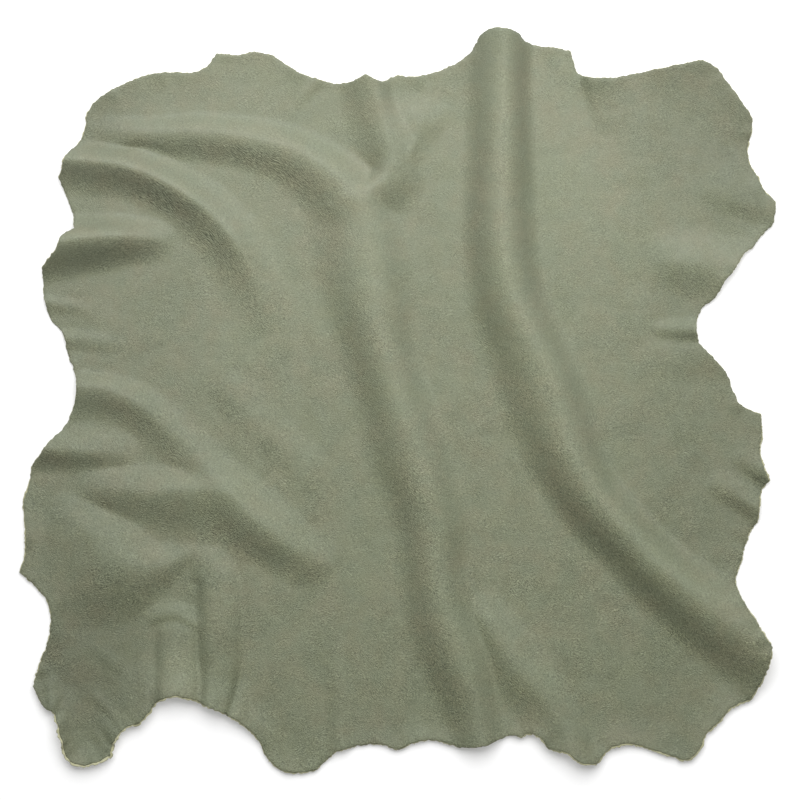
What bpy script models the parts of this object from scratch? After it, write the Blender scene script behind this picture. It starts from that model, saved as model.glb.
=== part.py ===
"""A whole tanned hide, lying grain side up on a flat surface, for Blender 4.5. Metres, +Z up.

The hide is one sheet of leather with the cut outline of the skin and the soft folds it has taken in
lying loose. It rests on z = 0 with its middle at the origin; the crown, where the neck was, points to +Y.
Every length in the tables below is in millimetres and is turned into metres when the mesh is made.
"""

import bpy
import numpy as np
from mathutils import Vector, geometry

MM = 0.001

# Driving sizes, in mm.
THICKNESS = 1.4
BOARD_MIDDLE = (397.6, 401.0)  # the hide's middle on the cutting board of EDGE and FOLDS
EDGE_STEP = 8.0  # between mesh points along the cut edge
CREST_STEP = 14.0  # between mesh points along a fold
FOLD_APART = 8.0  # the least distance between two mesh points on a fold
FLAT_STEP = 27.0  # between mesh points where the leather lies flat
FLAT_APART = 15.0  # the least distance from those to the points of the folds and of the edge
EDGE_MARGIN = 5.0  # the least distance from an inner point to the cut edge

# Where the mesh has lines of points across a fold: shares of its flank's width, from crest to foot.
FLANK_SHARES = (0.0, 0.5, -0.5, 1.0, -1.0, 0.25, -0.25, 0.75, -0.75)
# How sharply one fold's height hands over to another's where they meet: 1 would add them up.
MERGE = 3.0

LEATHER = (0.166, 0.176, 0.122, 1.0)
LEATHER_ROUGHNESS = 0.55

# The cut edge, clockwise from the upper left: the name of a stretch, and its points from its first corner
# on, each as mm to the right of and below the upper left corner of an 800 mm board. A stretch ends where the
# next one begins.
EDGE = (
    ("top left shoulder", (
        (87, 113), (99, 99), (121, 86), (144, 76), (170, 72.5), (192, 72.5), (208, 66), (213.5, 58))),
    ("crown, left", (
        (217, 54), (238, 55), (258, 52.5), (270, 55), (286, 65), (308, 76.5), (324, 81), (341, 84.5),
        (353, 82), (366, 75.7), (380, 82.5), (396, 76.3), (416, 77), (442, 70))),
    ("crown, middle", (
        (461, 61), (472, 52), (480, 38), (487, 31.5), (505, 30.3), (518, 34.5))),
    ("crown, right", (
        (523.5, 41.5), (537, 46), (555, 48))),
    ("neck notch", (
        (570, 51.5), (573.5, 62), (577, 72.5), (587, 77), (606, 78.5), (632, 74.5), (665, 67.5),
        (690, 62.5))),
    ("top right shoulder", (
        (702, 60.3), (714, 67), (725, 80), (740, 100.5))),
    ("right of the shoulder", (
        (752, 119), (751.5, 130), (747.5, 152), (750, 165), (757, 177), (763, 189))),
    ("right fore tab", (
        (775, 201.5), (775.3, 211))),
    ("under the right fore tab", (
        (772, 225), (761, 235.5), (753, 246.5), (744, 254), (735, 267.5), (724, 281), (715, 297),
        (701, 309), (696, 327))),
    ("right waist", (
        (698, 343), (715, 360), (727, 375), (732, 390), (741, 405))),
    ("right hip corner", (
        (760, 414.5), (762, 434), (760, 450))),
    ("right hip tab", (
        (769, 480), (761, 492), (759, 507))),
    ("right thigh", (
        (758, 520), (749, 534), (741, 562), (735, 580.5), (741, 598), (754, 619))),
    ("right hind tab", (
        (771, 646), (768, 665), (759, 684))),
    ("right hind foot", (
        (751, 699), (730.5, 709), (720, 721), (707, 733.5), (700, 748.5), (693, 757), (684, 760),
        (672, 756.5), (650, 749.5), (628, 744), (612, 748))),
    ("bottom right tab", (
        (596, 764), (577, 761), (567, 752.5), (549, 748.5), (539, 737), (529, 733.5))),
    ("bottom, right", (
        (521, 736.8), (512, 735), (499, 739.5), (485, 744.7))),
    ("bottom, middle", (
        (460, 747), (445, 742), (429, 740), (412, 743))),
    ("bottom, left", (
        (399, 750), (380, 744.3), (352, 747), (335, 752.5), (325, 761.5))),
    ("bottom left tab", (
        (317, 769.5), (305, 771.7), (283, 771), (270, 761), (258, 739), (240, 722.5), (222, 712))),
    ("left hind notch", (
        (209, 707), (190, 698.5), (173, 696.3), (160, 700.5), (150, 712))),
    ("left hind foot, inner", (
        (141, 723.5), (128, 728), (117, 739.5))),
    ("left hind foot", (
        (111, 756), (97, 763), (83, 766.3), (70, 761.5), (62, 742))),
    ("left hind foot, outer", (
        (54.5, 713.5), (44, 706))),
    ("left hind tab", (
        (33.3, 686), (40, 663), (48.5, 640), (51, 620), (48.5, 602.5), (38, 588.5))),
    ("left thigh tab", (
        (20, 572.5), (25.5, 552), (25.5, 532), (24, 514))),
    ("left hip tab", (
        (23, 502), (29.5, 482))),
    ("left hip", (
        (33, 464), (49, 443), (65, 426.5), (74, 407), (77, 388), (74, 369), (67.5, 353))),
    ("left waist", (
        (66.5, 344), (60, 328.5))),
    ("left waist tab", (
        (53, 322.5), (47, 309), (43.5, 288))),
    ("left fore tab", (
        (43, 267.5), (56, 251), (64, 236))),
    ("left fore notch", (
        (75, 229.3), (73.5, 215), (67, 197.5))),
    ("left shoulder tab", (
        (59.7, 178), (66, 158), (80.5, 140.5), (85.5, 127))),
)

# The folds: a name, how round the crest is (1 is round, less is tighter), and rows along the crest of
# (right, below, height, width of the left flank, width of the right flank), all in mm on the same board.
# Left and right are those of somebody who walks along the crest from the first row to the last.
FOLDS = (
    ("right ridge", 1.0, (
        (505, 10, 24, 31, 41), (503, 80, 24, 32, 41), (503, 150, 25, 35, 42), (502, 215, 26, 38, 44),
        (505, 262, 26, 39, 46), (513, 300, 26, 39, 50), (528, 335, 25, 38, 54), (547, 380, 24, 39, 60),
        (560, 425, 24, 40, 54), (575, 464, 24, 37, 48), (595, 499, 23, 35, 44), (624, 531, 22, 33, 42),
        (656, 565, 22, 34, 43), (692, 597, 21, 40, 46), (729, 625, 19, 52, 50), (766, 652, 17, 62, 54),
        (803, 682, 15, 66, 54))),
    ("long ridge", 1.0, (
        (92, 130, 0, 18, 22), (130, 132, 5, 17, 24), (165, 133, 9, 19, 28), (200, 133, 11, 22, 32),
        (250, 139, 12, 24, 36), (298, 153, 14, 27, 42), (335, 178, 16, 32, 50), (360, 213, 17, 40, 60),
        (368, 255, 18, 48, 64), (374, 300, 19, 46, 56), (384, 350, 19, 37, 48), (398, 400, 19, 38, 47),
        (413, 450, 19, 41, 52), (426, 490, 19, 38, 48), (433, 520, 18, 40, 45), (436, 570, 17, 37, 42),
        (445, 618, 17, 40, 45), (461, 665, 16, 40, 43), (473, 700, 14, 30, 38), (482, 745, 13, 27, 36),
        (486, 775, 13, 27, 36))),
    ("crown fold", 0.9, (
        (366, 55, 14, 22, 38), (374, 90, 14, 20, 40), (382, 118, 13, 22, 42), (389, 140, 13, 28, 40),
        (392, 158, 13, 36, 32), (388, 175, 13, 42, 24), (375, 187, 13, 44, 20), (358, 195, 12, 44, 18),
        (342, 200, 9, 40, 16))),
    ("left shoulder ridge", 0.75, (
        (30, 159, 14, 16, 38), (62, 159, 16, 18, 38), (90, 161, 17, 22, 39), (120, 165, 18, 25, 37),
        (150, 175, 18, 26, 37), (182, 192, 18, 28, 37), (209, 212, 16, 32, 40), (235, 242, 14, 34, 41),
        (251, 274, 9, 36, 40), (261, 305, 4, 36, 36), (267, 336, 0, 36, 36))),
    ("left fore ridge", 0.85, (
        (25, 250, 22, 18, 40), (56, 242, 22, 24, 42), (90, 238, 22, 25, 40), (120, 236, 18, 24, 36),
        (148, 238, 10, 22, 30), (175, 242, 0, 22, 28))),
    ("left flank ridge", 0.9, (
        (50, 387, 9, 16, 32), (76, 386, 9, 16, 36), (108, 390, 10, 20, 34), (137, 404, 9, 24, 32),
        (167, 429, 6, 28, 31), (196, 458, 6, 30, 35), (225, 489, 12, 34, 44), (256, 520, 14, 38, 44),
        (288, 546, 10, 34, 36), (315, 562, 5, 28, 32), (336, 571, 0, 24, 28))),
    ("left hip ridge", 0.85, (
        (20, 453, 5, 26, 22), (45, 450, 8, 28, 25), (80, 451, 8, 30, 25), (110, 453, 5, 30, 24),
        (140, 456, 0, 28, 22))),
    ("left thigh ridge", 0.9, (
        (75, 484, 0, 30, 20), (105, 489, 6, 32, 28), (150, 492, 10, 32, 42), (190, 490, 11, 28, 56),
        (230, 493, 8, 28, 56), (258, 500, 0, 28, 50))),
    ("left hind ridge", 0.95, (
        (202, 553, 0, 12, 16), (180, 558, 3, 16, 18), (157, 567, 8, 32, 34), (136, 567, 12.5, 66, 42),
        (116, 556, 12, 94, 44), (98, 541, 9, 84, 43), (80, 528, 7, 72, 37), (62, 518, 4.5, 62, 33),
        (45, 512, 0, 50, 30))),
    ("left hind roll", 1.7, (
        (190, 572, 0, 26, 14), (202, 571, 4, 28, 16), (212, 579, 6.5, 28, 19), (217, 596, 7.5, 28, 22),
        (217, 630, 8, 28, 23), (216, 660, 8, 28, 23), (215, 700, 8.5, 28, 23), (215, 730, 8.5, 28, 23))),
    ("left notch roll", 1.8, (
        (178, 614, 0, 22, 20), (178, 628, 4, 24, 24), (178, 645, 6, 25, 27), (178, 668, 8, 24, 28),
        (177, 695, 10, 24, 30), (177, 735, 12.5, 25, 32))),
    ("left notch, its edge curled up", 1.0, (
        (130, 735, 4, 44, 20), (155, 718, 9, 66, 20), (182, 712, 13, 76, 20), (208, 716, 12, 66, 20),
        (238, 732, 4, 44, 20))),
    ("bottom right ridge", 0.9, (
        (466, 600, 0, 28, 14), (480, 616, 5, 34, 20), (497, 639, 8, 36, 26), (516, 666, 9, 36, 34),
        (540, 694, 10, 34, 40), (562, 723, 10, 28, 44), (584, 762, 9, 20, 46))),
    ("right fore ridge", 0.9, (
        (646, 262, 0, 30, 28), (668, 262, 5, 38, 34), (695, 264, 8, 40, 42), (720, 268, 7, 40, 44),
        (760, 276, 5, 40, 46))),
    ("right hip ridge", 0.9, (
        (708, 476, 0, 22, 16), (725, 487, 3, 20, 18), (745, 500, 5, 18, 18), (775, 519, 6, 18, 20))),
    ("right shoulder, its edge raised", 1.0, (
        (625, 45, 0, 20, 90), (665, 30, 8, 20, 105), (720, 28, 11, 20, 110), (775, 60, 11, 20, 110),
        (810, 110, 7, 20, 100), (820, 150, 0, 20, 80))),
)


def on_hide(board):
    """Board places, mm right and below, as X and Y from the hide's middle; other columns stay."""
    placed = np.array(board, float)
    placed[:, 0] -= BOARD_MIDDLE[0]
    placed[:, 1] = BOARD_MIDDLE[1] - placed[:, 1]
    return placed


def smooth_rows(rows, step):
    """Rows every step or so along a smooth curve through the given rows, every column carried along."""
    rows = np.asarray(rows, float)
    if len(rows) < 3:
        middle = (rows[0] + rows[-1]) / 2
        rows = np.array([rows[0], middle, rows[-1]])
    along = np.concatenate([[0], np.cumsum(np.hypot(*np.diff(rows[:, :2], axis=0).T))])
    slope = np.gradient(rows, along, axis=0)
    places = np.linspace(0, along[-1], int(np.ceil(along[-1] / step)) + 1)
    start = np.clip(np.searchsorted(along, places, "right") - 1, 0, len(rows) - 2)
    span = (along[start + 1] - along[start])[:, None]
    t = (places - along[start])[:, None] / span
    return ((2 * t**3 - 3 * t**2 + 1) * rows[start] + (t**3 - 2 * t**2 + t) * span * slope[start]
            + (3 * t**2 - 2 * t**3) * rows[start + 1] + (t**3 - t**2) * span * slope[start + 1])


def cut_edge(step):
    """The cut edge as one closed loop of points, anticlockwise."""
    loop = []
    for (_, stretch), (_, following) in zip(EDGE, EDGE[1:] + EDGE[:1]):
        loop.append(smooth_rows(stretch + following[:1], step)[:-1])
    return on_hide(np.concatenate(loop))[::-1]


def inside(points, loop):
    """Which points lie inside the loop."""
    crossed = np.zeros(len(points), bool)
    for (x0, y0), (x1, y1) in zip(loop, np.roll(loop, -1, axis=0)):
        if y0 == y1:
            continue
        x = x0 + (x1 - x0) * (points[:, 1] - y0) / (y1 - y0)
        crossed ^= ((y0 > points[:, 1]) != (y1 > points[:, 1])) & (points[:, 0] < x)
    return crossed


def fold_height(points, rows, tight):
    """The height of one fold above the flat sheet, at each point."""
    path = on_hide(smooth_rows(rows, 4.0))
    start = path[:-1]
    run = np.diff(path, axis=0)
    length2 = (run[:, :2] ** 2).sum(1)
    height = np.zeros(len(points))
    reach = path[:, 3:].max()
    near = ((points > path[:, :2].min(0) - reach) & (points < path[:, :2].max(0) + reach)).all(1)
    for i in np.flatnonzero(near):
        gap = points[i] - start[:, :2]
        t = np.clip((gap * run[:, :2]).sum(1) / length2, 0, 1)
        gap -= t[:, None] * run[:, :2]
        away = np.hypot(gap[:, 0], gap[:, 1])
        k = away.argmin()
        _, _, crest, left, right = start[k] + t[k] * run[k]
        on_left = run[k, 0] * gap[k, 1] > run[k, 1] * gap[k, 0]
        share = away[k] / (left if on_left else right)
        if share < 1:
            height[i] = max(crest, 0) * (1 + np.cos(np.pi * share**tight)) / 2
    return height


def sheet_height(points):
    """The height of the sheet's underside at each point, with all folds merged."""
    total = sum(fold_height(points, rows, tight) ** MERGE for _, tight, rows in FOLDS)
    return total ** (1 / MERGE)


def fold_points(share):
    """Points along every fold, at one share of its flank's width: to its left if the share is above 0."""
    found = []
    for _, _, rows in FOLDS:
        path = on_hide(smooth_rows(rows, CREST_STEP))
        ahead = np.gradient(path[:, :2], axis=0)
        ahead /= np.hypot(ahead[:, 0], ahead[:, 1])[:, None]
        to_left = np.stack([-ahead[:, 1], ahead[:, 0]], axis=1)
        width = path[:, 3] if share > 0 else path[:, 4]
        found.append(path[:, :2] + share * width[:, None] * to_left)
    return np.concatenate(found)


def flat_points(loop):
    """An even grid of points over the hide."""
    low = loop.min(0)
    high = loop.max(0)
    row_step = FLAT_STEP * np.sqrt(0.75)
    rows = []
    for k, y in enumerate(np.arange(low[1], high[1], row_step)):
        x = np.arange(low[0] + (k % 2) * FLAT_STEP / 2, high[0], FLAT_STEP)
        rows.append(np.stack([x, np.full(len(x), y)], axis=1))
    return np.concatenate(rows)


def added(kept, points, apart):
    """The kept points, and those of the others that lie at least apart from every point before them."""
    kept = list(kept)
    for point in points:
        if np.hypot(*(np.array(kept) - point).T).min() >= apart:
            kept.append(point)
    return np.array(kept)


def mesh_points(loop):
    """All points of the sheet, the loop first: close together on the folds, far apart on the flats."""
    groups = [(fold_points(share), FOLD_APART) for share in FLANK_SHARES]
    groups.append((flat_points(loop), FLAT_APART))
    points = loop
    for group, apart in groups:
        group = group[inside(group, loop)]
        to_edge = np.array([np.hypot(*(loop - point).T).min() for point in group])
        points = added(points, group[to_edge > EDGE_MARGIN], apart)
    return points


def leather_material():
    material = bpy.data.materials.new("leather")
    material.use_nodes = True
    shader = material.node_tree.nodes["Principled BSDF"]
    shader.inputs["Base Color"].default_value = LEATHER
    shader.inputs["Roughness"].default_value = LEATHER_ROUGHNESS
    shader.inputs["Metallic"].default_value = 0.0
    material.diffuse_color = LEATHER
    return material


def make_hide():
    """The hide's underside as a surface of triangles, thickened upwards into a solid sheet."""
    loop = cut_edge(EDGE_STEP)
    points = mesh_points(loop)
    ring = list(range(len(loop)))
    sides = list(zip(ring, ring[1:] + ring[:1]))
    inside_the_ring = 1
    placed, _, triangles, *_ = geometry.delaunay_2d_cdt(
        [Vector(point) for point in points], sides, [ring], inside_the_ring, 1e-4)
    flat = np.array([tuple(point) for point in placed])
    corners = np.column_stack([flat, sheet_height(flat)]) * MM
    mesh = bpy.data.meshes.new("hide")
    mesh.from_pydata(corners.tolist(), [], triangles)
    mesh.materials.append(leather_material())
    mesh.shade_smooth()
    hide = bpy.data.objects.new("hide", mesh)
    bpy.context.collection.objects.link(hide)
    skin = hide.modifiers.new("thickness", "SOLIDIFY")
    skin.thickness = THICKNESS * MM
    skin.offset = 1.0
    return hide


for leftover in list(bpy.data.objects):
    bpy.data.objects.remove(leftover)
make_hide()
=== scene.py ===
"""The looks of the leather hide: its sheet with grain, folds, cut edge and flesh side, on a pale floor.

Lengths in the constants, the tables and the shape functions are millimetres, unless a comment says
otherwise. MM turns them into the frame's metres.
"""

import bpy
import numpy as np
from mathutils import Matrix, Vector, geometry, kdtree


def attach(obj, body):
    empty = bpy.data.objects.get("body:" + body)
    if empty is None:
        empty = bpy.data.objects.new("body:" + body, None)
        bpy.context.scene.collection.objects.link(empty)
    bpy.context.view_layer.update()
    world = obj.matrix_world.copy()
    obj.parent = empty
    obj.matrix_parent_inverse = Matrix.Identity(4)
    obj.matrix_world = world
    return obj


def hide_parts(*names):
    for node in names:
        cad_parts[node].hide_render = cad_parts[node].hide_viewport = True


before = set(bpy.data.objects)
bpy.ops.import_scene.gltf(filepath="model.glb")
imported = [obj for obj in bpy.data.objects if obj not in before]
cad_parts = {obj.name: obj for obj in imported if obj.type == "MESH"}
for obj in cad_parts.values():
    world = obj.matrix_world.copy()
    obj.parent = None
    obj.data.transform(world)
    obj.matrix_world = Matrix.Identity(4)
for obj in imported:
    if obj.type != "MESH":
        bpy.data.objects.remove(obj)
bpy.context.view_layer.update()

MM = 0.001

# ---- the sheet ----------------------------------------------------------------------------------

THICKNESS = 1.4
BOARD_MIDDLE = (397.6, 401.0)  # the hide's middle on the board that the tables are measured on
EDGE_STEP = 1.0  # between mesh points along the cut edge; its noise is worked out at each of them
GRAIN_STEP = 3.15  # between mesh points of the grain side
FLESH_STEP = 5.5  # between mesh points of the flesh side
EDGE_MARGIN = 0.55  # the least distance from an inner mesh point to the cut edge, in steps of its side
WELD = 1e-5  # mesh points closer than this are one
PATH_STEP = 4.0  # between the places along a crest where a fold's height and width are worked out
BATCH = 4000  # places whose height is worked out at once
MERGE = 3.0  # how sharply one fold's height hands over to another's: 1 would add them up

# The cut edge, clockwise from the upper left: the name of a stretch, and its points from its first corner
# on, each as mm to the right of and below the upper left corner of an 800 mm board. A stretch ends where
# the next one begins.
EDGE = (
    ("top left shoulder", (
        (87, 113), (99, 99), (121, 86), (144, 76), (170, 72.5), (192, 72.5), (208, 66), (213.5, 58))),
    ("crown, left", (
        (217, 54), (238, 55), (258, 52.5), (270, 55), (286, 65), (308, 76.5), (324, 81), (341, 84.5),
        (353, 82), (366, 75.7), (380, 82.5), (396, 76.3), (416, 77), (442, 70))),
    ("crown, middle", (
        (461, 61), (472, 52), (480, 38), (487, 31.5), (505, 30.3), (518, 34.5))),
    ("crown, right", (
        (523.5, 41.5), (537, 46), (555, 48))),
    ("neck notch", (
        (570, 51.5), (573.5, 62), (577, 72.5), (587, 77), (606, 78.5), (632, 74.5), (665, 67.5),
        (690, 62.5))),
    ("top right shoulder", (
        (702, 60.3), (714, 67), (725, 80), (740, 100.5))),
    ("right of the shoulder", (
        (752, 119), (751.5, 130), (747.5, 152), (750, 165), (757, 177), (763, 189))),
    ("right fore tab", (
        (775, 201.5), (775.3, 211))),
    ("under the right fore tab", (
        (772, 225), (761, 235.5), (753, 246.5), (744, 254), (735, 267.5), (724, 281), (715, 297),
        (701, 309), (696, 327))),
    ("right waist", (
        (698, 343), (715, 360), (727, 375), (732, 390), (741, 405))),
    ("right hip corner", (
        (760, 414.5), (762, 434), (760, 450))),
    ("right hip tab", (
        (769, 480), (761, 492), (759, 507))),
    ("right thigh", (
        (758, 520), (749, 534), (741, 562), (735, 580.5), (741, 598), (754, 619))),
    ("right hind tab", (
        (771, 646), (768, 665), (759, 684))),
    ("right hind foot", (
        (751, 699), (730.5, 709), (720, 721), (707, 733.5), (700, 748.5), (693, 757), (684, 760),
        (672, 756.5), (650, 749.5), (628, 744), (612, 748))),
    ("bottom right tab", (
        (596, 764), (577, 761), (567, 752.5), (549, 748.5), (539, 737), (529, 733.5))),
    ("bottom, right", (
        (521, 736.8), (512, 735), (499, 739.5), (485, 744.7))),
    ("bottom, middle", (
        (460, 747), (445, 742), (429, 740), (412, 743))),
    ("bottom, left", (
        (399, 750), (380, 744.3), (352, 747), (335, 752.5), (325, 761.5))),
    ("bottom left tab", (
        (317, 769.5), (305, 771.7), (283, 771), (270, 761), (258, 739), (240, 722.5), (222, 712))),
    ("left hind notch", (
        (209, 707), (190, 698.5), (173, 696.3), (160, 700.5), (150, 712))),
    ("left hind foot, inner", (
        (141, 723.5), (128, 728), (117, 739.5))),
    ("left hind foot", (
        (111, 756), (97, 763), (83, 766.3), (70, 761.5), (62, 742))),
    ("left hind foot, outer", (
        (54.5, 713.5), (44, 706))),
    ("left hind tab", (
        (33.3, 686), (40, 663), (48.5, 640), (51, 620), (48.5, 602.5), (38, 588.5))),
    ("left thigh tab", (
        (20, 572.5), (25.5, 552), (25.5, 532), (24, 514))),
    ("left hip tab", (
        (23, 502), (29.5, 482))),
    ("left hip", (
        (33, 464), (49, 443), (65, 426.5), (74, 407), (77, 388), (74, 369), (67.5, 353))),
    ("left waist", (
        (66.5, 344), (60, 328.5))),
    ("left waist tab", (
        (53, 322.5), (47, 309), (43.5, 288))),
    ("left fore tab", (
        (43, 267.5), (56, 251), (64, 236))),
    ("left fore notch", (
        (75, 229.3), (73.5, 215), (67, 197.5))),
    ("left shoulder tab", (
        (59.7, 178), (66, 158), (80.5, 140.5), (85.5, 127))),
)

# The folds: a name, how round the crest is (1 is round, less is tighter, more is flatter), and rows along
# the crest of (right, below, height, width of the left flank, width of the right flank), all in mm on the
# same board. Left and right are those of somebody who walks along the crest from the first row to the last.
FOLDS = (
    ("right ridge", 1.0, (
        (505, 10, 24, 31, 41), (503, 80, 24, 32, 41), (503, 150, 25, 35, 42), (502, 215, 26, 38, 44),
        (505, 262, 26, 39, 46), (513, 300, 26, 39, 50), (528, 335, 25, 38, 54), (547, 380, 24, 39, 60),
        (560, 425, 24, 40, 54), (575, 464, 24, 37, 48), (595, 499, 23, 35, 44), (624, 531, 22, 33, 42),
        (656, 565, 22, 34, 43), (692, 597, 21, 40, 46), (729, 625, 19, 52, 50), (766, 652, 17, 62, 54),
        (803, 682, 15, 66, 54))),
    ("long ridge", 1.0, (
        (92, 130, 0, 18, 22), (130, 132, 5, 17, 24), (165, 133, 9, 19, 28), (200, 133, 11, 22, 32),
        (250, 139, 12, 24, 36), (298, 153, 14, 27, 42), (335, 178, 16, 32, 50), (360, 213, 17, 40, 60),
        (368, 255, 18, 48, 64), (374, 300, 19, 46, 56), (384, 350, 19, 37, 48), (398, 400, 19, 38, 47),
        (413, 450, 19, 41, 52), (426, 490, 19, 38, 48), (433, 520, 18, 40, 45), (436, 570, 17, 37, 42),
        (445, 618, 17, 40, 45), (461, 665, 16, 40, 43), (473, 700, 14, 30, 38), (482, 745, 13, 27, 36),
        (486, 775, 13, 27, 36))),
    ("crown fold", 0.9, (
        (366, 55, 14, 22, 38), (374, 90, 14, 20, 40), (382, 118, 13, 22, 42), (389, 140, 13, 28, 40),
        (392, 158, 13, 36, 32), (388, 175, 13, 42, 24), (375, 187, 13, 44, 20), (358, 195, 12, 44, 18),
        (342, 200, 9, 40, 16))),
    ("left shoulder ridge", 0.75, (
        (30, 159, 14, 16, 38), (62, 159, 16, 18, 38), (90, 161, 17, 22, 39), (120, 165, 18, 25, 37),
        (150, 175, 18, 26, 37), (182, 192, 18, 28, 37), (209, 212, 16, 32, 40), (235, 242, 14, 34, 41),
        (251, 274, 9, 36, 40), (261, 305, 4, 36, 36), (267, 336, 0, 36, 36))),
    ("left fore ridge", 0.85, (
        (25, 250, 22, 18, 40), (56, 242, 22, 24, 42), (90, 238, 22, 25, 40), (120, 236, 18, 24, 36),
        (148, 238, 10, 22, 30), (175, 242, 0, 22, 28))),
    ("left flank ridge", 0.9, (
        (50, 387, 9, 16, 32), (76, 386, 9, 16, 36), (108, 390, 10, 20, 34), (137, 404, 9, 24, 32),
        (167, 429, 6, 28, 31), (196, 458, 6, 30, 35), (225, 489, 12, 34, 44), (256, 520, 14, 38, 44),
        (288, 546, 10, 34, 36), (315, 562, 5, 28, 32), (336, 571, 0, 24, 28))),
    ("left hip ridge", 0.85, (
        (20, 453, 5, 26, 22), (45, 450, 8, 28, 25), (80, 451, 8, 30, 25), (110, 453, 5, 30, 24),
        (140, 456, 0, 28, 22))),
    ("left thigh ridge", 0.9, (
        (75, 484, 0, 30, 20), (105, 489, 6, 32, 28), (150, 492, 10, 32, 42), (190, 490, 11, 28, 56),
        (230, 493, 8, 28, 56), (258, 500, 0, 28, 50))),
    ("left hind ridge", 0.95, (
        (202, 553, 0, 12, 16), (180, 558, 3, 16, 18), (157, 567, 8, 32, 34), (136, 567, 12.5, 66, 42),
        (116, 556, 12, 94, 44), (98, 541, 9, 84, 43), (80, 528, 7, 72, 37), (62, 518, 4.5, 62, 33),
        (45, 512, 0, 50, 30))),
    ("left hind roll", 1.7, (
        (190, 572, 0, 26, 14), (202, 571, 4, 28, 16), (212, 579, 6.5, 28, 19), (217, 596, 7.5, 28, 22),
        (217, 630, 8, 28, 23), (216, 660, 8, 28, 23), (215, 700, 8.5, 28, 23), (215, 730, 8.5, 28, 23))),
    ("left notch roll", 1.8, (
        (178, 614, 0, 22, 20), (178, 628, 4, 24, 24), (178, 645, 6, 25, 27), (178, 668, 8, 24, 28),
        (177, 695, 10, 24, 30), (177, 735, 12.5, 25, 32))),
    ("left notch, its edge curled up", 1.0, (
        (130, 735, 4, 44, 20), (155, 718, 9, 66, 20), (182, 712, 13, 76, 20), (208, 716, 12, 66, 20),
        (238, 732, 4, 44, 20))),
    ("bottom right ridge", 0.9, (
        (466, 600, 0, 28, 14), (480, 616, 5, 34, 20), (497, 639, 8, 36, 26), (516, 666, 9, 36, 34),
        (540, 694, 10, 34, 40), (562, 723, 10, 28, 44), (584, 762, 9, 20, 46))),
    ("right fore ridge", 0.9, (
        (646, 262, 0, 30, 28), (668, 262, 5, 38, 34), (695, 264, 8, 40, 42), (720, 268, 7, 40, 44),
        (760, 276, 5, 40, 46))),
    ("right hip ridge", 0.9, (
        (708, 476, 0, 22, 16), (725, 487, 3, 20, 18), (745, 500, 5, 18, 18), (775, 519, 6, 18, 20))),
    ("right shoulder, its edge raised", 1.0, (
        (625, 45, 0, 20, 90), (665, 30, 8, 20, 105), (720, 28, 11, 20, 110), (775, 60, 11, 20, 110),
        (810, 110, 7, 20, 100), (820, 150, 0, 20, 80))),
)

# Small creases and swells that lie on top of the folds, in the same columns.
CREASES = (
    ("crown swell", 1.0, (
        (390, 128, 0, 36, 60), (404, 124, 3, 36, 75), (420, 124, 5, 36, 80), (440, 136, 0, 36, 70))),
    ("crown crease", 1.0, (
        (322, 76, 2.5, 9, 9), (308, 92, 1.5, 9, 9), (296, 108, 0, 9, 9))),
    ("neck pleat", 1.0, (
        (590, 60, 6, 30, 14), (594, 85, 6, 30, 14), (600, 110, 3, 30, 14), (606, 135, 0, 30, 14))),
    ("right fore pleat", 1.0, (
        (690, 185, 0, 40, 14), (712, 191, 2, 50, 20), (742, 200, 4, 55, 22), (780, 211, 4, 55, 24))),
    ("right waist crease", 1.0, (
        (648, 328, 0, 10, 12), (672, 329, 3.5, 12, 14), (720, 331, 5.5, 14, 14))),
    ("right waist swell", 1.0, (
        (640, 350, 0, 20, 30), (672, 354, 2.5, 20, 34), (730, 352, 4, 20, 34))),
    ("right hip pleat", 1.0, (
        (733, 452, 0, 20, 12), (750, 464, 2.6, 24, 13), (775, 480, 3.8, 24, 14))),
    ("flank ripple", 1.0, (
        (205, 355, 0, 30, 26), (225, 385, 2, 30, 26), (262, 425, 2, 30, 26), (305, 470, 2, 30, 26),
        (330, 500, 0, 30, 26))),
    ("waist pleat", 1.0, (
        (40, 303, 3, 9, 12), (70, 306, 1.8, 9, 12), (98, 312, 0, 9, 12))),
    ("lower waist pleat", 1.0, (
        (60, 337, 3, 10, 14), (90, 340, 2.2, 12, 14), (125, 345, 0, 12, 14))),
    ("left fore notch crease", 1.0, (
        (68, 221, 1.8, 8, 6), (92, 222, 1.2, 8, 6), (106, 223, 0, 8, 6))),
    ("arc above the left notch", 1.0, (
        (148, 624, 0, 12, 9), (160, 616, 2.6, 15, 9), (178, 614, 3.0, 16, 9), (192, 621, 2.2, 14, 8),
        (204, 634, 0, 10, 7))),
    ("left foot pleat", 1.0, (
        (50, 685, 3, 14, 10), (55, 712, 4.5, 14, 10), (62, 745, 3, 14, 10))),
    ("hind wrinkle", 1.0, (
        (78, 640, 0, 10, 9), (104, 655, 0.7, 11, 10), (142, 690, 0, 10, 9))),
    ("lower hind wrinkle", 1.0, (
        (86, 690, 0, 9, 8), (104, 704, 1.4, 9, 8), (122, 728, 0, 9, 8))),
    ("bottom left swell", 1.0, (
        (337, 640, 0, 16, 16), (340, 690, 2.5, 16, 16), (341, 765, 4, 16, 16))),
)

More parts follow.
